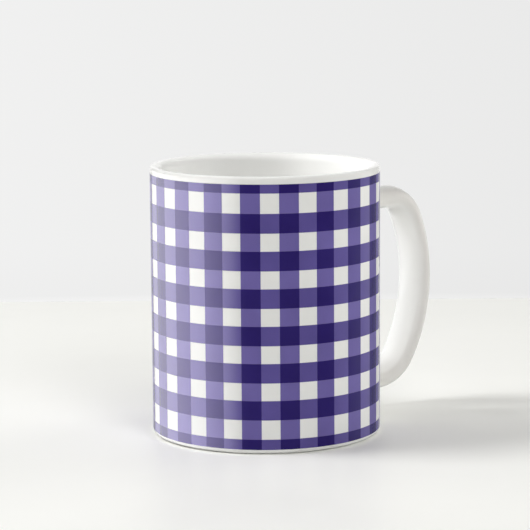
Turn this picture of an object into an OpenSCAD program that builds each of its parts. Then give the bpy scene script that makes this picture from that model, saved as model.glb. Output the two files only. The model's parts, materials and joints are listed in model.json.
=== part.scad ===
// Straight-sided ceramic mug with a loop handle and a printed gingham wrap.
// Units: millimetres. Z is up. The origin is the centre of the circle the mug stands on.
// The handle points along +X.

/* [Body] */
// outside diameter over the glaze
mug_d = 82; // [78:1:90]
// height from the table to the top of the rim
mug_h = 96.5; // [94:0.5:110]
// wall thickness including the glaze on both faces
wall_t = 4; // [3.4:0.1:5]
// height of the drinking floor above the table
floor_z = 8; // [7:0.5:12]
// rounding of the rim's outer edge; the rest of the wall thickness is the inner rounding
rim_out_r = 1; // [0.8:0.1:1.5]
// radius between the drinking floor and the wall
floor_corner_r = 10; // [6:1:16]
// thickness of the fired glaze
glaze_t = 0.35; // [0.25:0.05:0.5]

/* [Foot] */
// outside radius of the bare foot ring
foot_r = 38.2; // [36:0.1:38.4]
// width of the bare foot ring
foot_w = 3.8; // [2.5:0.1:6]
// height the bare foot ring stands below the glazed heel
foot_step = 0.6; // [0.5:0.05:1]
// rounding of the glazed heel
heel_r = 1.3; // [1:0.05:1.4]
// height of the hollow under the mug
recess_z = 2.8; // [2:0.1:3.4]
// rounding between the hollow's ceiling and the foot ring
recess_round = 0.8; // [0.6:0.1:1.2]

/* [Handle] */
// height of the handle's upper arm above the table
handle_top_z = 80; // [76:0.2:82]
// length of the straight upper arm, measured from the wall
upper_arm_l = 16.7; // [12:0.1:20]
// centreline radius of the upper bend
upper_bend_r = 12; // [10:0.1:14]
// angle of the upper bend
upper_bend_a = 65; // [60:0.2:70]
// centreline radius of the grip
grip_r = 56; // [50:0.2:60]
// angle of the grip
grip_a = 58; // [54:0.1:60]
// centreline radius of the lower bend
lower_bend_r = 15; // [13:0.1:17]
// thickness of the handle, measured away from the wall
handle_t = 8.4; // [7.6:0.1:10]
// width of the handle, measured across the mug
handle_w = 14; // [13:0.1:18]
// radius of the handle's two narrow edges
handle_edge_r = 3.2; // [3:0.1:3.6]

/* [Slip joints] */
// thickness of the slip between the wall and a handle end
slip_t = 0.6; // [0.5:0.05:1]
// width of the slip squeezed out round a handle end
slip_lip_w = 1.2; // [0.8:0.1:2]
// height of the squeezed-out slip above the wall
slip_lip_h = 1.2; // [0.8:0.1:2]

/* [Printed wrap] */
// thickness of the fired print
print_t = 0.12; // [0.1:0.01:0.2]
// height of the print's lower edge
print_z0 = 1.7; // [1.6:0.1:6]
// height of the print's upper edge
print_z1 = 93.9; // [92:0.1:94.3]
// half angle of the unprinted gap at the handle
gap_a = 29.7; // [24:0.1:30.4]
// number of upright stripes
stripe_n = 16; // [8:1:16]
// angle from one upright stripe to the next
stripe_pitch_a = 18.72; // [18:0.01:18.72]
// angle covered by one upright stripe
stripe_a = 9.6; // [8:0.1:10]
// angle of the first stripe's middle, counted from the handle
stripe_first_a = 35.6; // [35.6:0.1:36]
// number of full-height bands
band_n = 6; // [4:1:6]
// height of the lowest full band's lower edge
band_first_z = 12.1; // [11:0.1:13]
// height from one band to the next
band_pitch = 13; // [12:0.05:13.1]
// height of one band
band_h = 6.76; // [5:0.02:7]
// height of the cut-off band along the lower edge
edge_band_low_h = 3.6; // [2:0.1:5]
// height of the cut-off band along the upper edge
edge_band_high_h = 3.05; // [1:0.05:4]

/* [Colours] */
// fired clay
clay_c = [0.86, 0.83, 0.77];
// slip
slip_c = [0.84, 0.80, 0.73];
// clear white glaze
glaze_c = [0.94, 0.94, 0.92];
// upright stripes between the bands
stripe_c = [0.42, 0.37, 0.62];
// bands between the upright stripes
band_c = [0.34, 0.29, 0.52];
// squares where a stripe crosses a band
cross_c = [0.17, 0.12, 0.36];

/* [Hidden] */
$fn = 96;
full_turn = 360;
quarter_turn = 90;
slack = 1;

mug_r = mug_d / 2;
clay_r = mug_r - glaze_t;
cup_r = mug_r - wall_t;
clay_cup_r = cup_r + glaze_t;
rim_x = mug_r - rim_out_r;
rim_in_r = wall_t - rim_out_r;
heel_z = foot_step - glaze_t;
foot_in_r = foot_r - foot_w;
pad_r = clay_r + slip_t;

// the oval section: two edge arcs joined by two flatter arcs that meet them smoothly
edge_c = handle_w / 2 - handle_edge_r;
side_r = (pow(edge_c, 2) + pow(handle_t / 2, 2) - pow(handle_edge_r, 2)) / (handle_t - 2 * handle_edge_r);
side_c = side_r - handle_t / 2;
side_a = atan2(edge_c, side_c);

// centres of the handle's three bends in the plane y = 0
upper_c = [mug_r + upper_arm_l, handle_top_z - upper_bend_r];
grip_c = upper_c - (grip_r - upper_bend_r) * [sin(upper_bend_a), cos(upper_bend_a)];
turn_a = upper_bend_a + grip_a;
lower_c = grip_c + (grip_r - lower_bend_r) * [sin(turn_a), cos(turn_a)];
handle_low_z = lower_c[1] - lower_bend_r;
arm_start = mug_r - 3 * wall_t;

last_band = band_n + 1;

// ---------------------------------------------------------------- helpers

// half profile of a ring from radius r0 to r1 and from height z0 to z1
module strip(r0, r1, z0, z1) {
    translate([r0, z0])
        square([r1 - r0, z1 - z0]);
}

// half profile of a cup's hollow with a rounded floor corner
module hollow_profile(r, z, corner) {
    strip(0, r - corner, z, mug_h + slack);
    strip(0, r, z + corner, mug_h + slack);
    translate([r - corner, z + corner])
        circle(corner);
}

// half profile of the mug's outside: foot plane at z, heel rounded by heel, rim shrunk all round
module outside_profile(r, z, heel, shrink) {
    strip(0, r - heel, z, mug_h - rim_in_r);
    strip(0, r, z + heel, mug_h - rim_in_r);
    strip(rim_x, r, z + heel, mug_h - rim_out_r);
    translate([r - heel, z + heel])
        circle(heel);
    translate([rim_x, mug_h - rim_out_r])
        circle(rim_out_r - shrink);
    intersection() {
        translate([rim_x, mug_h - rim_in_r])
            circle(rim_in_r - shrink);
        strip(0, rim_x, z, mug_h);
    }
}

// half profile of the hollow under the mug, rounded where its ceiling meets the foot ring
module recess_profile() {
    strip(0, foot_in_r - recess_round, -slack, recess_z + glaze_t);
    strip(0, foot_in_r, -slack, recess_z + glaze_t - recess_round);
    translate([foot_in_r - recess_round, recess_z + glaze_t - recess_round])
        circle(recess_round);
}

// the handle's oval section, widest along X, grown all round
module oval(grow) {
    for (side = [-1, 1])
        translate([side * edge_c, 0])
            circle(handle_edge_r + grow);
    intersection() {
        translate([0, side_c])
            circle(side_r + grow);
        translate([0, -side_c])
            circle(side_r + grow);
        square([2 * (side_r + grow) * sin(side_a), handle_t + 2 * grow + slack], center = true);
    }
}

// one bend of the handle about a centre in the plane y = 0
module bend(centre, r, from_a, turn, grow) {
    translate([centre[0], 0, centre[1]])
        rotate([90, 0, 0])
            rotate([0, 0, from_a])
                rotate_extrude(angle = turn)
                    translate([r, 0])
                        rotate(90)
                            oval(grow);
}

// one straight arm from inside the wall out to x = to_x
module arm(z, to_x, grow) {
    translate([arm_start, 0, z])
        rotate([90, 0, 90])
            linear_extrude(to_x - arm_start)
                oval(grow);
}

// the whole handle as one bar, running into the wall at both ends
module handle_bar(grow) {
    arm(handle_top_z, upper_c[0], grow);
    bend(upper_c, upper_bend_r, quarter_turn - upper_bend_a, upper_bend_a, grow);
    bend(grip_c, grip_r, quarter_turn - turn_a, grip_a, grow);
    bend(lower_c, lower_bend_r, -quarter_turn, full_turn / 2 - turn_a, grow);
    arm(handle_low_z, lower_c[0], grow);
}

// a low oval collar round a handle end at height z, from inside the wall out to x = to_x
module collar(z, to_x, grow) {
    arm(z, to_x, slip_lip_w + grow);
}

// slip between a handle end and the wall, with the lip squeezed out round it
module slip_joint(z) {
    difference() {
        collar(z, clay_r + slip_lip_h, -glaze_t);
        cylinder(r = clay_r, h = mug_h);
        handle_end();
    }
}

// both straight arms beyond the slip, used to cut the collars
module handle_end() {
    difference() {
        handle_bar(-glaze_t);
        cylinder(r = pad_r, h = mug_h);
    }
}

// height of band k's lower edge, counting the cut-off bands as the first and the last
function band_z(k) = k == 0 ? print_z0
    : k == last_band ? print_z1 - edge_band_high_h
    : band_first_z + (k - 1) * band_pitch;

// height of band k's upper edge
function band_top(k) = k == 0 ? print_z0 + edge_band_low_h
    : k == last_band ? print_z1
    : band_z(k) + band_h;

// angle at which stripe k starts
function stripe_start(k) = stripe_first_a - stripe_a / 2 + k * stripe_pitch_a;

// one curved patch of print on the glaze
module patch(from_a, to_a, z0, z1) {
    rotate([0, 0, from_a])
        rotate_extrude(angle = to_a - from_a)
            strip(mug_r, mug_r + print_t, z0, z1);
}

// ---------------------------------------------------------------- sub-parts

// cast wall, floor and foot ring
module mug_body() {
    color(clay_c)
        rotate_extrude()
            difference() {
                union() {
                    outside_profile(clay_r, foot_step, heel_r - glaze_t, glaze_t);
                    strip(foot_in_r, foot_r, 0, foot_step + slack);
                }
                hollow_profile(clay_cup_r, floor_z - glaze_t, floor_corner_r + glaze_t);
                recess_profile();
            }
}

// cast handle, cut to the curve of the wall at both ends
module handle_core() {
    color(clay_c)
        handle_end();
}

module upper_slip_joint() {
    color(slip_c)
        slip_joint(handle_top_z);
}

module lower_slip_joint() {
    color(slip_c)
        slip_joint(handle_low_z);
}

// glaze poured into the cup, up to the top of the rim
module inner_glaze() {
    color(glaze_c)
        rotate_extrude()
            difference() {
                intersection() {
                    outside_profile(mug_r, heel_z, heel_r, 0);
                    strip(0, rim_x, floor_z - glaze_t, mug_h);
                }
                hollow_profile(cup_r, floor_z, floor_corner_r);
                clay_profile();
            }
}

// glaze on the outside of the wall, from the top of the rim to the foot ring
module outer_glaze() {
    color(glaze_c)
        difference() {
            rotate_extrude()
                difference() {
                    outside_profile(mug_r, heel_z, heel_r, 0);
                    clay_profile();
                    strip(0, rim_x, foot_step, mug_h + slack);
                    strip(0, foot_r, -slack, mug_h);
                }
            for (z = [handle_top_z, handle_low_z])
                collar(z, clay_r + slip_lip_h, -glaze_t);
        }
}

// glaze on the handle and over both slip joints
module handle_glaze() {
    color(glaze_c)
        difference() {
            union() {
                handle_bar(0);
                for (z = [handle_top_z, handle_low_z])
                    collar(z, mug_r + slip_lip_h, 0);
            }
            cylinder(r = mug_r, h = mug_h);
            handle_bar(-glaze_t);
            for (z = [handle_top_z, handle_low_z])
                collar(z, clay_r + slip_lip_h, -glaze_t);
        }
}

// glaze in the hollow under the mug, inside the bare foot ring
module base_glaze() {
    color(glaze_c)
        rotate_extrude()
            intersection() {
                recess_profile();
                strip(0, foot_in_r, recess_z, recess_z + glaze_t);
            }
}

// upright stripes, in the rows between the bands
module print_stripes() {
    color(stripe_c)
        for (k = [0:stripe_n - 1])
            for (row = [0:band_n])
                patch(stripe_start(k), stripe_start(k) + stripe_a, band_top(row), band_z(row + 1));
}

// bands, in the gaps between the upright stripes
module print_bands() {
    color(band_c)
        for (row = [0:last_band])
            for (k = [0:stripe_n])
                patch(k == 0 ? gap_a : stripe_start(k - 1) + stripe_a,
                    k == stripe_n ? full_turn - gap_a : stripe_start(k),
                    band_z(row), band_top(row));
}

// squares where a stripe crosses a band
module print_crossings() {
    color(cross_c)
        for (row = [0:last_band])
            for (k = [0:stripe_n - 1])
                patch(stripe_start(k), stripe_start(k) + stripe_a, band_z(row), band_top(row));
}

// half profile of the cast body
module clay_profile() {
    difference() {
        outside_profile(clay_r, foot_step, heel_r - glaze_t, glaze_t);
        hollow_profile(clay_cup_r, floor_z - glaze_t, floor_corner_r + glaze_t);
    }
}

mug_body();
handle_core();
upper_slip_joint();
lower_slip_joint();
inner_glaze();
outer_glaze();
handle_glaze();
base_glaze();
print_stripes();
print_bands();
print_crossings();
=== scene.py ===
import json
import math

import bmesh
import bpy
from mathutils import Matrix, Vector


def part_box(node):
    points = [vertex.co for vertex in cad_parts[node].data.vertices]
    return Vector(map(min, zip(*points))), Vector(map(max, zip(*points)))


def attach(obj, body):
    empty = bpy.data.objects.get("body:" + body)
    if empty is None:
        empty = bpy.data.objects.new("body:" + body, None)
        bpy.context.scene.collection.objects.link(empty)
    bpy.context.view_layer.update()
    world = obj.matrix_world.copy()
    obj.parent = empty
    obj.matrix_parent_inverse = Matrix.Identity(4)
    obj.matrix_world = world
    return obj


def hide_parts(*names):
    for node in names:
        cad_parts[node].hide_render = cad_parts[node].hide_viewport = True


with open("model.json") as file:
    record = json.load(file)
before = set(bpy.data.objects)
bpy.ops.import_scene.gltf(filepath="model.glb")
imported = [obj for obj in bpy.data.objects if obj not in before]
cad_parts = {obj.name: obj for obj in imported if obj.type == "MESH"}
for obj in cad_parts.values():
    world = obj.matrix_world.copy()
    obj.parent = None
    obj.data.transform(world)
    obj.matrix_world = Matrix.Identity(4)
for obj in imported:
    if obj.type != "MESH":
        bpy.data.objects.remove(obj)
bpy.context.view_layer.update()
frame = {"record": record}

MM = 0.001
TAU = 2 * math.pi

# ------------------------------------------------------------------ sizes, from the frame where it has them

glaze_low, glaze_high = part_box("outer_glaze")
inner_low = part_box("inner_glaze")[0]
clay_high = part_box("mug_body")[1]
base_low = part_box("base_glaze")[0]
core_low, core_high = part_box("handle_core")
cross_low, cross_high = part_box("print_crossings")
mounts = {m["name"]: m for m in frame["record"]["mounts"]}

# the wall and its rounded rim
MUG_R = glaze_high.y
CUP_R = mounts["mouth"]["dims"]["r_mm"] * MM
GLAZE_T = MUG_R - clay_high.y
RIM_OUT_R = 1 * MM
RIM_IN_R = MUG_R - CUP_R - RIM_OUT_R
RIM_X = MUG_R - RIM_OUT_R
RIM_OUT_Z = glaze_high.z - RIM_OUT_R
RIM_IN_Z = glaze_high.z - RIM_IN_R

# the heel, where the outer glaze ends above the bare foot ring
HEEL_Z = glaze_low.z
HEEL_R = 1.3 * MM
HEEL_X = MUG_R - HEEL_R
HEEL_MIDDLE_Z = HEEL_Z + HEEL_R
EDGE_GAP = 0.02 * MM
EDGE_BEVEL_W = 0.15 * MM
EDGE_BEVEL_H = 0.12 * MM

# the cup's floor and the corner round it
FLOOR_Z = inner_low.z + GLAZE_T
CORNER_R = 10 * MM
CORNER_X = CUP_R - CORNER_R
CORNER_Z = FLOOR_Z + CORNER_R

# the foot ring and the glazed hollow inside it
FOOT_IN_R = mounts["foot_recess"]["dims"]["r_mm"] * MM
FOOT_OUT_R = FOOT_IN_R + 3.8 * MM
FOOT_ROUND_R = 0.5 * MM
FOOT_STEP_Z = HEEL_Z + GLAZE_T
HOLLOW_Z = base_low.z
HOLLOW_ROUND_R = 1.2 * MM

# the handle's centreline: a straight arm, three bends and a straight arm, in the plane y = 0
HANDLE_HALF_W = 7 * MM
HANDLE_HALF_T = 4.2 * MM
HANDLE_EDGE_R = 3.2 * MM
HANDLE_TOP_Z = 80 * MM
UPPER_ARM = 16.7 * MM
UPPER_BEND_R = 12 * MM
UPPER_BEND_A = math.radians(65)
GRIP_R = 56 * MM
GRIP_A = math.radians(58)
LOWER_BEND_R = 15 * MM

# the handle's roots, blended into the wall over the slip: fine rings shape them up to ROOT_H, and
# rings below FOLLOW_H follow the wall's curve
FILLET_R = 3.2 * MM
FOLLOW_H = 4 * FILLET_R
ROOT_H = 3 * MM
ROOT_RING_H = [h * MM for h in (-0.25, 0, 0.04, 0.12, 0.25, 0.45, 0.7, 1.0, 1.4, 1.9, 2.5)]
SLIP_REACH = 0.9 * MM

# the printed wrap
PRINT_T = 0.05 * MM
PRINT_Z0 = cross_low.z
PRINT_Z1 = cross_high.z
GAP_A = math.radians(29.7)
STRIPES = 16
STRIPE_PITCH = math.radians(18.72)
STRIPE_A = math.radians(9.6)
STRIPE_FIRST = math.radians(35.6)
BANDS = 6
BAND_FIRST_Z = 12.1 * MM
BAND_PITCH = 13 * MM
BAND_H = 6.76 * MM
EDGE_BAND_LOW = 3.6 * MM
EDGE_BAND_HIGH = 3.05 * MM

# how finely the meshes are cut
LATHE_TURNS = 240
RING_POINTS = 64
PATH_STEPS = 24
PATCH_STEP_A = math.radians(1.2)
SHARP_A = math.radians(35)
HANDLE_SHARP_A = math.radians(50)

# the stage, in metres: the table, and the point on the mug that the lamps face
TABLE_HALF_W = 2.0
TABLE_FRONT = -2.4
TABLE_BACK = 281 * MM
TABLE_T = 30 * MM
MIDDLE = Vector((0, 0, 50 * MM))
LAMP_DISTANCE = 1.3

# the camera, seen from the mug: where it stands and where it looks
VIEW_A = math.radians(-40)
CAMERA_D = 827.8 * MM
CAMERA_Z = 186.6 * MM
CAMERA_PITCH = math.radians(8.691)
CAMERA_YAW = math.radians(-0.012)
CAMERA_ROLL = math.radians(-0.426)
CAMERA_LENS = 158.5


# ------------------------------------------------------------------ mesh helpers

def new_piece(name, verts, faces, material, sharp=SHARP_A, normals=None):
    """A mesh with smooth faces, and sharp edges where it ends or faces meet at more than sharp.

    Faces are turned to agree with each other, unless normals gives each vertex its own.
    """
    mesh = bpy.data.meshes.new(name)
    mesh.from_pydata(verts, [], faces)
    mesh.validate()
    bm = bmesh.new()
    bm.from_mesh(mesh)
    if normals is None:
        bmesh.ops.recalc_face_normals(bm, faces=bm.faces)
    for face in bm.faces:
        face.smooth = True
    for edge in bm.edges:
        edge.smooth = len(edge.link_faces) == 2 and edge.calc_face_angle(math.pi) < sharp
    bm.to_mesh(mesh)
    bm.free()
    if normals is not None:
        mesh.normals_split_custom_set_from_vertices(normals)
    piece = bpy.data.objects.new(name, mesh)
    bpy.context.scene.collection.objects.link(piece)
    mesh.materials.append(material)
    return piece


def lathe(name, profile, material):
    """A closed profile of (radius, height) points turned about Z. Points on the axis are shared."""
    verts, rows = [], []
    for r, z in profile:
        if r == 0:
            rows.append([len(verts)] * LATHE_TURNS)
            verts.append((0, 0, z))
        else:
            rows.append(list(range(len(verts), len(verts) + LATHE_TURNS)))
            for k in range(LATHE_TURNS):
                a = TAU * k / LATHE_TURNS
                verts.append((r * math.cos(a), r * math.sin(a), z))
    faces = []
    for i in range(len(rows)):
        a, b = rows[i], rows[(i + 1) % len(rows)]
        for k in range(LATHE_TURNS):
            n = (k + 1) % LATHE_TURNS
            corner = [a[k], a[n], b[n], b[k]]
            face = [v for place, v in enumerate(corner) if v not in corner[:place]]
            if len(face) > 2:
                faces.append(face)
    return new_piece(name, verts, faces, material)


def arc(cx, cz, r, a0, a1, steps):
    """Points of an arc in the (radius, height) plane, angles in degrees."""
    out = []
    for k in range(steps + 1):
        a = math.radians(a0 + (a1 - a0) * k / steps)
        out.append((cx + r * math.cos(a), cz + r * math.sin(a)))
    return out


def rungs(r0, z0, r1, z1, steps):
    """Points strictly between two profile points."""
    return [(r0 + (r1 - r0) * k / steps, z0 + (z1 - z0) * k / steps) for k in range(1, steps)]


# ------------------------------------------------------------------ the handle's sweep

def centreline():
    """Stations (x, z, heading) from the wall, round the handle, back to the wall."""
    stations = []
    x, z, heading = MUG_R, HANDLE_TOP_Z, 0.0

    def straight(length, steps):
        nonlocal x
        for k in range(steps):
            stations.append((x + math.cos(heading) * length * k / steps, z, heading))
        x += math.cos(heading) * length

    def bend(r, turn, steps):
        nonlocal x, z, heading
        cx, cz = x + r * math.sin(heading), z - r * math.cos(heading)
        for k in range(steps):
            a = heading - turn * k / steps
            stations.append((cx - r * math.sin(a), cz + r * math.cos(a), a))
        heading -= turn
        x, z = cx - r * math.sin(heading), cz + r * math.cos(heading)

    straight(UPPER_ARM, PATH_STEPS)
    bend(UPPER_BEND_R, UPPER_BEND_A, PATH_STEPS)
    bend(GRIP_R, GRIP_A, 2 * PATH_STEPS)
    bend(LOWER_BEND_R, math.pi - UPPER_BEND_A - GRIP_A, PATH_STEPS)
    straight(x - MUG_R, PATH_STEPS)
    stations.append((x, z, heading))
    return stations


def oval(a, grow):
    """A point of the handle's section for the direction a, as (thickness offset, width offset)."""
    edge_c = HANDLE_HALF_W - HANDLE_EDGE_R
    side_r = (edge_c ** 2 + HANDLE_HALF_T ** 2 - HANDLE_EDGE_R ** 2) / (2 * (HANDLE_HALF_T - HANDLE_EDGE_R))
    side_c = side_r - HANDLE_HALF_T
    side_a = math.atan2(edge_c, side_c)
    nt, nw = math.cos(a), math.sin(a)
    if abs(math.atan2(abs(nw), abs(nt))) < side_a:
        return (side_r + grow) * nt - math.copysign(side_c, nt), (side_r + grow) * nw
    return (HANDLE_EDGE_R + grow) * nt, (HANDLE_EDGE_R + grow) * nw + math.copysign(edge_c, nw)


def flare(height):
    """How far the fillet stands out from the handle's section at this height above the wall."""
    if height >= FILLET_R:
        return 0.0
    height = max(height, 0.0)
    return FILLET_R - math.sqrt(FILLET_R ** 2 - (FILLET_R - height) ** 2)


def handle_ring(station, height, grow, wall_r):
    """One ring of the handle. height is its distance from the wall, which it follows when near."""
    x, z, heading = station
    near = max(0.0, 1.0 - height / FOLLOW_H)
    near = near * near * (3 - 2 * near)
    ring = []
    for k in range(RING_POINTS):
        t, w = oval(TAU * k / RING_POINTS, grow + flare(height))
        drop = wall_r - math.sqrt(wall_r ** 2 - w ** 2)
        ring.append((x - t * math.sin(heading) - near * drop, w, z + t * math.cos(heading)))
    return ring


def tube(rings):
    """Vertices and faces of a closed tube through the rings, with fans over both ends."""
    count = len(rings[0])
    verts = [v for ring in rings for v in ring]
    faces = []
    for i in range(len(rings) - 1):
        for k in range(count):
            n = (k + 1) % count
            faces.append((i * count + k, i * count + n, (i + 1) * count + n, (i + 1) * count + k))
    for i in (0, len(rings) - 1):
        centre = sum((Vector(v) for v in rings[i]), Vector()) / count
        verts.append(tuple(centre))
        for k in range(count):
            faces.append((i * count + k, i * count + (k + 1) % count, len(verts) - 1))
    return verts, faces


def handle_piece(name, grow, wall_r, material, keep=None):
    """The handle as one sweep, sunk a little into the wall. keep picks the stations to sweep."""
    path = centreline()
    rings = [((wall_r + h, HANDLE_TOP_Z, 0.0), h) for h in ROOT_RING_H]
    for station in path:
        height = station[0] - wall_r
        on_bend = abs(math.sin(station[2])) > 1e-6
        if on_bend:
            rings.append((station, FOLLOW_H))
        elif height > ROOT_H:
            rings.append((station, height))
    rings += [((wall_r + h, path[-1][1], -math.pi), h) for h in reversed(ROOT_RING_H)]
    built = [handle_ring(station, height, grow, wall_r) for station, height in rings
             if keep is None or keep(station)]
    verts, faces = tube(built)
    return new_piece(name, verts, faces, material, HANDLE_SHARP_A)


# ------------------------------------------------------------------ materials

class Nodes:
    """Adds nodes to a node tree and links them."""

    def __init__(self, tree):
        self.tree = tree
        self.coords = self.add("ShaderNodeTexCoord")

    def add(self, kind, **settings):
        node = self.tree.nodes.new(kind)
        for key, value in settings.items():
            setattr(node, key, value)
        return node

    def link(self, source, target):
        self.tree.links.new(source, target)

    def noise(self, scale, detail, rough=0.5):
        node = self.add("ShaderNodeTexNoise")
        node.inputs["Scale"].default_value = scale
        node.inputs["Detail"].default_value = detail
        node.inputs["Roughness"].default_value = rough
        self.link(self.coords.outputs["Object"], node.inputs["Vector"])
        return node.outputs["Fac"]

    def ramp(self, source, stops):
        """Colours for the places 0 to 1. stops: (place, colour)."""
        node = self.add("ShaderNodeValToRGB")
        elements = node.color_ramp.elements
        while len(elements) < len(stops):
            elements.new(0.5)
        for element, (place, colour) in zip(elements, stops):
            element.position = place
            element.color = (*colour, 1)
        self.link(source, node.inputs["Fac"])
        return node.outputs["Color"]

    def span(self, source, low, high, from_low=0.0, from_high=1.0):
        """The range from_low to from_high stretched to low to high, and held at its ends."""
        node = self.add("ShaderNodeMapRange")
        node.inputs["From Min"].default_value = from_low
        node.inputs["From Max"].default_value = from_high
        node.inputs["To Min"].default_value = low
        node.inputs["To Max"].default_value = high
        self.link(source, node.inputs["Value"])
        return node.outputs["Result"]

    def axis(self, vector, letter):
        node = self.add("ShaderNodeSeparateXYZ")
        self.link(vector, node.inputs[0])
        return node.outputs[letter]

    def times(self, a, b):
        node = self.add("ShaderNodeMath", operation="MULTIPLY")
        self.link(a, node.inputs[0])
        self.link(b, node.inputs[1])
        return node.outputs[0]


class Surface(Nodes):
    """The nodes of a new material."""

    # places of the Mix node's colour sockets, whose names it repeats for other kinds
    FACTOR, COLOUR_A, COLOUR_B, COLOUR_OUT = 0, 6, 7, 2

    def __init__(self, name):
        self.material = bpy.data.materials.new(name)
        self.material.use_nodes = True
        super().__init__(self.material.node_tree)
        self.shader = self.tree.nodes["Principled BSDF"]

    def look(self, colour, roughness):
        self.link(colour, self.shader.inputs["Base Color"])
        self.link(roughness, self.shader.inputs["Roughness"])

    def stained(self, share, colour, stain):
        """A colour multiplied by a stain, by this share of the stain's full strength."""
        node = self.add("ShaderNodeMix", data_type="RGBA", blend_type="MULTIPLY")
        node.inputs[self.FACTOR].default_value = share
        self.link(colour, node.inputs[self.COLOUR_A])
        self.link(stain, node.inputs[self.COLOUR_B])
        return node.outputs[self.COLOUR_OUT]

    def bump(self, layers):
        """Stacked bumps: (height source, strength, distance in metres)."""
        normal = None
        for source, strength, distance in layers:
            node = self.add("ShaderNodeBump")
            node.inputs["Strength"].default_value = strength
            node.inputs["Distance"].default_value = distance
            self.link(source, node.inputs["Height"])
            if normal:
                self.link(normal, node.inputs["Normal"])
            normal = node.outputs["Normal"]
        self.link(normal, self.shader.inputs["Normal"])

    def fired(self):
        """The slow ripple and fine peel of a fired glaze, shared by the glaze and the print."""
        self.shader.inputs["IOR"].default_value = 1.5
        ripple = self.noise(scale=55, detail=1)
        peel = self.noise(scale=420, detail=2)
        self.bump([(ripple, 0.35, 0.12 * MM), (peel, 0.25, 0.018 * MM)])


def linear(r, g, b):
    """An 8-bit screen colour as linear light."""
    return tuple((c / 255 / 12.92) if c <= 10 else ((c / 255 + 0.055) / 1.055) ** 2.4 for c in (r, g, b))


def shaded(colour, share):
    return tuple(c * share for c in colour)


WHITE = (1, 1, 1)


def glaze_material(name, tint):
    """White glaze with a faint cloud in its colour and a few pale specks."""
    mat = Surface(name)
    cloud = mat.ramp(mat.noise(scale=28, detail=3, rough=0.55), [(0.3, shaded(tint, 0.965)), (0.62, tint)])
    specks = mat.ramp(mat.noise(scale=1900, detail=1, rough=0.4), [(0.0, (0.55, 0.52, 0.47)), (0.235, WHITE)])
    mat.look(mat.stained(0.35, cloud, specks), mat.span(mat.noise(scale=70, detail=2), 0.07, 0.13))
    mat.fired()
    return mat.material


def print_material(name, ink, shine, gloss):
    """One ink of the printed wrap, fired into the glaze: cloudy, with the print's fine grain."""
    mat = Surface(name)
    light = tuple(min(1.0, c * 1.07 + 0.004) for c in ink)
    cloud = mat.ramp(mat.noise(scale=60, detail=3), [(0.3, shaded(ink, 0.94)), (0.7, light)])
    grain = mat.ramp(mat.noise(scale=2600, detail=2, rough=0.6), [(0.3, (0.93, 0.93, 0.95)), (0.7, WHITE)])
    mat.look(mat.stained(0.8, cloud, grain), mat.span(mat.noise(scale=70, detail=2), 0.16, 0.22))
    mat.shader.inputs["Specular Tint"].default_value = (*shine, 1)
    mat.shader.inputs["Specular IOR Level"].default_value = gloss
    mat.fired()
    return mat.material


def clay_material(name, tint):
    """Bare fired clay, mottled, with dark grit and a grainy surface."""
    mat = Surface(name)
    mottle = mat.ramp(mat.noise(scale=240, detail=5, rough=0.6), [(0.32, shaded(tint, 0.84)), (0.66, tint)])
    grit = mat.ramp(mat.noise(scale=1500, detail=1), [(0.0, (0.45, 0.38, 0.3)), (0.3, WHITE)])
    mat.look(mat.stained(0.6, mottle, grit), mat.span(mat.noise(scale=500, detail=2), 0.72, 0.9))
    grain = mat.noise(scale=1400, detail=4, rough=0.65)
    lumps = mat.noise(scale=240, detail=2)
    mat.bump([(grain, 0.5, 0.12 * MM), (lumps, 0.4, 0.2 * MM)])
    return mat.material


def table_material():
    """A plain pale table top with a barely seen cloud in its colour."""
    mat = Surface("table")
    cloud = mat.ramp(mat.noise(scale=6, detail=4, rough=0.6),
                     [(0.3, linear(248, 248, 244)), (0.7, linear(254, 254, 250))])
    mat.look(cloud, mat.span(mat.noise(scale=25, detail=3), 0.35, 0.5))
    mat.bump([(mat.noise(scale=300, detail=2), 0.1, 0.05 * MM)])
    return mat.material


GLAZE = glaze_material("white_glaze", linear(251, 251, 249))
CLAY = clay_material("bare_clay", linear(226, 216, 198))
SLIP = clay_material("slip", linear(220, 208, 188))
STRIPE_INK = print_material("stripe_ink", linear(116, 104, 174), shine=(0.98, 0.96, 1.0), gloss=0.62)
BAND_INK = print_material("band_ink", linear(97, 85, 158), shine=(0.96, 0.93, 1.0), gloss=0.64)
CROSS_INK = print_material("cross_ink", linear(41, 25, 108), shine=(0.88, 0.82, 1.0), gloss=0.56)

# ------------------------------------------------------------------ body

UNDER_INNER_GLAZE = (
    arc(CORNER_X, CORNER_Z, CORNER_R + GLAZE_T, -90, 0, 12)
    + arc(RIM_X, RIM_IN_Z, RIM_IN_R - GLAZE_T, 180, 90, 14)
)


def outer_glaze_coat():
    """From the top of the rim down the wall, round the heel, and back up against the clay."""
    return lathe("outer_glaze_coat", (
        arc(RIM_X, RIM_OUT_Z, RIM_OUT_R, 90, 0, 14)
        + rungs(MUG_R, RIM_OUT_Z, MUG_R, HEEL_MIDDLE_Z, 40)
        + arc(HEEL_X, HEEL_MIDDLE_Z, HEEL_R, 0, -90, 12)
        + [(FOOT_OUT_R + EDGE_BEVEL_W, HEEL_Z), (FOOT_OUT_R + EDGE_GAP, HEEL_Z + EDGE_BEVEL_H)]
        + [(FOOT_OUT_R + EDGE_GAP, FOOT_STEP_Z)]
        + arc(HEEL_X, HEEL_MIDDLE_Z, HEEL_R - GLAZE_T, -90, 0, 8)
        + rungs(MUG_R - GLAZE_T, HEEL_MIDDLE_Z, MUG_R - GLAZE_T, RIM_OUT_Z, 12)
        + arc(RIM_X, RIM_OUT_Z, RIM_OUT_R - GLAZE_T, 0, 90, 10)
    ), GLAZE)


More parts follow.
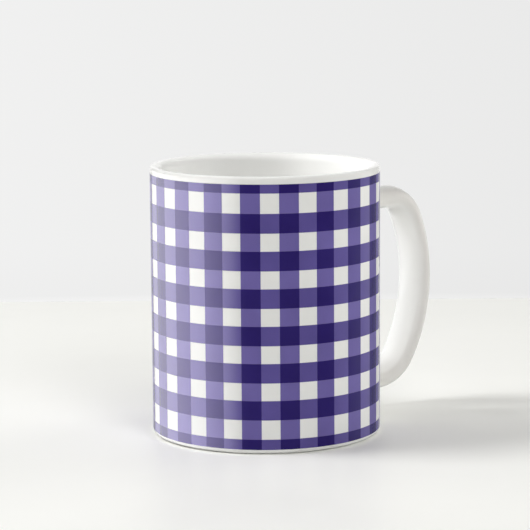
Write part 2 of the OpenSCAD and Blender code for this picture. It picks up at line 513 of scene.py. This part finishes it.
def inner_glaze_coat():
    """From the top of the rim down into the cup, across its floor, and back up against the clay."""
    return lathe("inner_glaze_coat", (
        arc(RIM_X, RIM_IN_Z, RIM_IN_R, 90, 180, 22)
        + rungs(CUP_R, RIM_IN_Z, CUP_R, CORNER_Z, 36)
        + arc(CORNER_X, CORNER_Z, CORNER_R, 0, -90, 20)
        + rungs(CORNER_X, FLOOR_Z, 0, FLOOR_Z, 8)
        + [(0, FLOOR_Z), (0, FLOOR_Z - GLAZE_T)]
        + UNDER_INNER_GLAZE
    ), GLAZE)


def cast_body():
    """The clay: up the cup's inside, over the rim, down the wall and round the bare foot ring."""
    return lathe("cast_body", (
        [(0, FLOOR_Z - GLAZE_T)]
        + UNDER_INNER_GLAZE
        + arc(RIM_X, RIM_OUT_Z, RIM_OUT_R - GLAZE_T, 90, 0, 8)
        + arc(HEEL_X, HEEL_MIDDLE_Z, HEEL_R - GLAZE_T, 0, -90, 8)
        + [(FOOT_OUT_R, FOOT_STEP_Z)]
        + arc(FOOT_OUT_R - FOOT_ROUND_R, FOOT_ROUND_R, FOOT_ROUND_R, 0, -90, 6)
        + rungs(FOOT_OUT_R - FOOT_ROUND_R, 0, FOOT_IN_R + FOOT_ROUND_R, 0, 6)
        + arc(FOOT_IN_R + FOOT_ROUND_R, FOOT_ROUND_R, FOOT_ROUND_R, -90, -180, 6)
        + [(FOOT_IN_R, HOLLOW_Z + GLAZE_T), (0, HOLLOW_Z + GLAZE_T)]
    ), CLAY)


def base_glaze_coat():
    """The glaze in the hollow under the mug."""
    return lathe("base_glaze_coat", (
        [(0, HOLLOW_Z)]
        + rungs(0, HOLLOW_Z, FOOT_IN_R - HOLLOW_ROUND_R, HOLLOW_Z, 8)
        + arc(FOOT_IN_R - HOLLOW_ROUND_R, HOLLOW_Z - HOLLOW_ROUND_R, HOLLOW_ROUND_R, 90, 0, 8)
        + [(FOOT_IN_R, HOLLOW_Z + GLAZE_T), (0, HOLLOW_Z + GLAZE_T)]
    ), GLAZE)


outer_glaze = outer_glaze_coat()
inner_glaze = inner_glaze_coat()
clay = cast_body()
base_glaze = base_glaze_coat()

# ------------------------------------------------------------------ handle and its joints

handle_glaze = handle_piece("handle_glaze_coat", 0.0, MUG_R, GLAZE)
handle_core = handle_piece("cast_handle", -GLAZE_T, MUG_R, CLAY)


def slip_piece(name, top):
    """The slip round one handle end: the sweep's first stretch, under the glaze."""
    middle_z = (core_low.z + core_high.z) / 2

    def near_this_end(station):
        x, z = station[:2]
        return (z > middle_z) == top and x < MUG_R + SLIP_REACH

    return handle_piece(name, -GLAZE_T / 2, MUG_R - GLAZE_T / 2, SLIP, near_this_end)


upper_slip = slip_piece("upper_slip", True)
lower_slip = slip_piece("lower_slip", False)


# ------------------------------------------------------------------ printed wrap

def band_low(k):
    """Height of band k's lower edge. The wrap's edges cut off bands 0 and BANDS + 1."""
    if k == 0:
        return PRINT_Z0
    return PRINT_Z1 - EDGE_BAND_HIGH if k > BANDS else BAND_FIRST_Z + (k - 1) * BAND_PITCH


def band_high(k):
    """Height of band k's upper edge. The wrap's edges cut off bands 0 and BANDS + 1."""
    if k == 0:
        return PRINT_Z0 + EDGE_BAND_LOW
    return PRINT_Z1 if k > BANDS else band_low(k) + BAND_H


def stripe_start(k):
    return STRIPE_FIRST - STRIPE_A / 2 + k * STRIPE_PITCH


def patches(name, cells, material):
    """Curved patches of print, each a thin closed plate on the glaze. cells: (a0, a1, z0, z1)."""
    verts, faces, normals = [], [], []
    for a0, a1, z0, z1 in cells:
        across = max(1, round((a1 - a0) / PATCH_STEP_A))
        start = len(verts)
        for k in range(across + 1):
            a = a0 + (a1 - a0) * k / across
            c, s = math.cos(a), math.sin(a)
            for r in (MUG_R - PRINT_T, MUG_R + PRINT_T):
                for z in (z0, z1):
                    verts.append((r * c, r * s, z))
                    normals.append((c, s, 0))
        for k in range(across):
            a, b = start + 4 * k, start + 4 * (k + 1)
            faces.append((a + 2, b + 2, b + 3, a + 3))
            faces.append((a, a + 1, b + 1, b))
            faces.append((a, b, b + 2, a + 2))
            faces.append((a + 1, a + 3, b + 3, b + 1))
        faces.append((start, start + 2, start + 3, start + 1))
        end = start + 4 * across
        faces.append((end, end + 1, end + 3, end + 2))
    return new_piece(name, verts, faces, material, normals=normals)


# every band row, with the two that the wrap's edges cut off
ROWS = range(BANDS + 2)
stripe_cells = [(stripe_start(k), stripe_start(k) + STRIPE_A, band_high(row), band_low(row + 1))
                for k in range(STRIPES) for row in ROWS[:-1]]
cross_cells = [(stripe_start(k), stripe_start(k) + STRIPE_A, band_low(row), band_high(row))
               for k in range(STRIPES) for row in ROWS]
band_cells = [(GAP_A if k == 0 else stripe_start(k - 1) + STRIPE_A,
               TAU - GAP_A if k == STRIPES else stripe_start(k), band_low(row), band_high(row))
              for k in range(STRIPES + 1) for row in ROWS]
print_stripes = patches("printed_stripes", stripe_cells, STRIPE_INK)
print_crossings = patches("printed_crossings", cross_cells, CROSS_INK)
print_bands = patches("printed_bands", band_cells, BAND_INK)

# ------------------------------------------------------------------ which nodes the pieces show

for piece, node, slot in (
    (outer_glaze, "outer_glaze", "glaze"),
    (inner_glaze, "inner_glaze", "glaze"),
    (base_glaze, "base_glaze", "glaze"),
    (handle_glaze, "handle_glaze", "glaze"),
    (handle_core, "handle_core", "clay"),
    (clay, "mug_body", "clay"),
    (upper_slip, "upper_slip_joint", "slip"),
    (lower_slip, "lower_slip_joint", "slip"),
    (print_stripes, "print_stripes", "print_stripe"),
    (print_bands, "print_bands", "print_band"),
    (print_crossings, "print_crossings", "print_cross"),
):
    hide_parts(node)
    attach(piece, "root")

# ------------------------------------------------------------------ table

# the stage is laid out as the camera sees it, X to its right and Y away from it, then turned to the part
to_part = Matrix.Rotation(VIEW_A, 4, "Z")


def table():
    """A pale table top whose back edge crosses the picture behind the mug."""
    outline = ((-TABLE_HALF_W, TABLE_FRONT), (TABLE_HALF_W, TABLE_FRONT),
               (TABLE_HALF_W, TABLE_BACK), (-TABLE_HALF_W, TABLE_BACK))
    verts = [(x, y, z) for z in (0, -TABLE_T) for x, y in outline]
    faces = [(0, 1, 2, 3), (7, 6, 5, 4), (0, 4, 5, 1), (1, 5, 6, 2), (2, 6, 7, 3), (3, 7, 4, 0)]
    piece = new_piece("table_top", verts, faces, table_material())
    piece.matrix_world = to_part
    piece.visible_glossy = False
    return piece


table()

# ------------------------------------------------------------------ lamps


def light_group(name, state):
    """A collection that names the handle, to light it apart from the rest or to leave it out."""
    group = bpy.data.collections.new(name)
    group.objects.link(handle_glaze)
    group.collection_objects[0].light_linking.link_state = state
    return group


HANDLE_ONLY = light_group("handle_only", "INCLUDE")
NOT_HANDLE = light_group("not_handle", "EXCLUDE")


def area_lamp(name, size, power, place, away):
    """A lamp that gloss and the camera don't see, at place with its back to the direction away."""
    data = bpy.data.lights.new(name, "AREA")
    data.size = size
    data.energy = power
    lamp = bpy.data.objects.new(name, data)
    lamp.visible_glossy = False
    lamp.visible_camera = False
    bpy.context.scene.collection.objects.link(lamp)
    turn = away.to_track_quat("Z", "Y").to_matrix().to_4x4()
    lamp.matrix_world = to_part @ Matrix.Translation(place) @ turn
    return lamp


def soft_light(name, group, direction, size, power, colour=WHITE):
    """A square lamp aimed at the mug, for the handle alone or for all but the handle.

    direction: degrees round from the camera's side, degrees up. size is in metres, power in watts.
    The handle's own lamps cast no shadow of the body on it, as in the picture.
    """
    azimuth, up = (math.radians(a) for a in direction)
    away = Vector((math.cos(up) * math.sin(azimuth), -math.cos(up) * math.cos(azimuth), math.sin(up)))
    lamp = area_lamp(name, size, power, away * LAMP_DISTANCE + MIDDLE, away)
    lamp.data.color = colour
    lamp.light_linking.receiver_collection = group
    if group == HANDLE_ONLY:
        lamp.light_linking.blocker_collection = group


def cup_light():
    """A small narrow lamp over the left of the rim that lights the right of the cup's inside."""
    place = Vector((-28, -14, 100)) * MM
    target = Vector((34, 12, 87)) * MM
    lamp = area_lamp("cup_light", 20 * MM, 0.0029, place, place - target)
    lamp.data.shape = "DISK"
    lamp.data.spread = math.radians(70)


soft_light("window_left", NOT_HANDLE, (-90, 55), 0.35, 8.3)
soft_light("window_left_front", NOT_HANDLE, (-73, 45), 0.1, 1.1)
soft_light("window_left_back", NOT_HANDLE, (-118, 30), 0.5, 1.9)
soft_light("fill_front", NOT_HANDLE, (27, 35), 0.5, 3.7)
soft_light("fill_front_high", NOT_HANDLE, (20, 60), 0.5, 2.4, (1, 0.99, 0.96))
soft_light("fill_right_back", NOT_HANDLE, (117, 12), 0.8, 7.2, (1, 0.995, 0.98))
soft_light("fill_back", NOT_HANDLE, (180, 45), 0.6, 1.2, (1, 0.99, 0.96))
soft_light("handle_left_back", HANDLE_ONLY, (-118, 30), 0.5, 12.7, (0.975, 0.984, 1))
soft_light("handle_left_low", HANDLE_ONLY, (-50, 10), 0.8, 4.6, (0.98, 0.98, 1))
soft_light("handle_front_high", HANDLE_ONLY, (20, 60), 0.5, 1.8, (1, 0.95, 0.92))
soft_light("handle_right_front", HANDLE_ONLY, (70, 20), 0.8, 2.4, (1, 0.9, 0.79))
soft_light("handle_right_back", HANDLE_ONLY, (117, 12), 0.8, 7.4)
cup_light()

# ------------------------------------------------------------------ glowing cards


def glowing_card(name, x, start, end, low, stops, strength):
    """An upright card below the table's plane that only gloss sees, so the table never mirrors it.

    It runs from start to end along Y. Its glow is strength times a smooth curve through stops,
    (place, level), with the places counted from its end on the camera's side.
    """
    mat = Surface(name)
    along = mat.axis(mat.coords.outputs["Object"], "Y")
    curve = mat.add("ShaderNodeFloatCurve")
    mat.link(mat.span(along, 0, 1, min(start, end), max(start, end)), curve.inputs["Value"])
    points = curve.mapping.curves[0].points
    while len(points) < len(stops):
        points.new(0.5, 0.5)
    for point, stop in zip(points, stops):
        point.location = stop
    curve.mapping.update()
    glow = mat.add("ShaderNodeEmission")
    mat.link(mat.span(curve.outputs["Value"], 0, strength), glow.inputs["Strength"])
    mat.link(glow.outputs[0], mat.tree.nodes["Material Output"].inputs["Surface"])
    mat.material.cycles.emission_sampling = "NONE"
    corners = [(x, start, low), (x, end, low), (x, end, -TABLE_T), (x, start, -TABLE_T)]
    piece = new_piece(name, corners, [(0, 1, 2, 3)], mat.material)
    piece.matrix_world = to_part
    piece.visible_camera = False
    piece.visible_diffuse = False
    piece.visible_shadow = False
    piece.visible_transmission = False
    piece.light_linking.receiver_collection = NOT_HANDLE


# the wide bright card on the left, strongest level with the mug
glowing_card("left_card", x=-2.2, start=-4.65, end=4.65, low=-2.7, strength=6.0, stops=[
    (0.0, 0.0), (0.1, 0.23), (0.2, 0.45), (0.316, 0.64), (0.45, 0.88), (0.55, 0.8),
    (0.684, 0.45), (0.85, 0.3), (1.0, 0.2)])
# the narrower weak one on the right
glowing_card("right_card", x=1.2, start=1.1, end=-0.39, low=-1.0, strength=0.55, stops=[
    (0.0, 0.3), (0.12, 0.75), (0.26, 0.75), (0.4, 0.75), (0.555, 0.85), (0.725, 1.0),
    (0.866, 0.8), (1.0, 0.35)])

# ------------------------------------------------------------------ world and camera


def studio_world():
    """Pale behind the mug, as the picture shows, and dark on the camera's side.

    It follows the direction of view on a sphere of radius 1: y is -1 on the camera's side and 1
    behind the mug, x runs left to right, and z is up.
    """
    world = bpy.data.worlds.new("studio")
    world.use_nodes = True
    nodes = Nodes(world.node_tree)
    turn = nodes.add("ShaderNodeMapping")
    turn.inputs["Rotation"].default_value = (0, 0, -VIEW_A)
    nodes.link(nodes.coords.outputs["Generated"], turn.inputs["Vector"])
    x, y, z = (nodes.axis(turn.outputs["Vector"], letter) for letter in "XYZ")

    depth = nodes.span(y, 0, 1, -1, 1)
    levels = [(0.0, 0.1), (0.5, 0.16), (0.85, 0.2), (0.95, 0.35), (0.975, 0.87), (1.0, 0.87)]
    backdrop = nodes.ramp(depth, [(place, (level, level, level)) for place, level in levels])
    front_tint = (1, 0.995, 0.975)
    tint = nodes.ramp(depth, [(0.0, front_tint), (0.94, front_tint), (0.97, (1, 1, 0.997))])

    # a little darker to the right and down towards the table, then a thin bright blur along its back edge
    edge_z = -CAMERA_Z / math.hypot(CAMERA_Z, CAMERA_D + TABLE_BACK)
    blur_z = edge_z + 0.0031
    sideways = nodes.span(x, 1.005, 0.95, -0.11, 0.11)
    blur = nodes.span(z, 1.0, 1.065, blur_z, edge_z)
    downwards = nodes.span(z, 1.0, 0.984, blur_z + 0.018, blur_z + 0.002)
    strength = nodes.times(nodes.times(nodes.times(backdrop, sideways), blur), downwards)
    background = nodes.tree.nodes["Background"]
    nodes.link(strength, background.inputs["Strength"])
    nodes.link(tint, background.inputs["Color"])
    return world


def studio_camera():
    """The photo's camera: its place, then its yaw and pitch, then its slight roll."""
    cos_yaw, sin_yaw = math.cos(CAMERA_YAW), math.sin(CAMERA_YAW)
    cos_pitch, sin_pitch = math.cos(CAMERA_PITCH), math.sin(CAMERA_PITCH)
    cos_roll, sin_roll = math.cos(CAMERA_ROLL), math.sin(CAMERA_ROLL)
    forward = Vector((sin_yaw * cos_pitch, cos_yaw * cos_pitch, -sin_pitch))
    right = Vector((cos_yaw, -sin_yaw, 0))
    up = right.cross(forward)
    axis_x = right * cos_roll + up * sin_roll
    axis_y = up * cos_roll - right * sin_roll
    turn = Matrix((axis_x, axis_y, -forward)).transposed().to_4x4()
    data = bpy.data.cameras.new("camera")
    data.lens = CAMERA_LENS
    data.sensor_width = 36
    data.clip_start = 10 * MM
    camera = bpy.data.objects.new("camera", data)
    bpy.context.scene.collection.objects.link(camera)
    camera.matrix_world = to_part @ Matrix.Translation((0, -CAMERA_D, CAMERA_Z)) @ turn
    return camera


bpy.context.scene.world = studio_world()
bpy.context.scene.camera = studio_camera()
bpy.context.scene.view_settings.view_transform = "Standard"
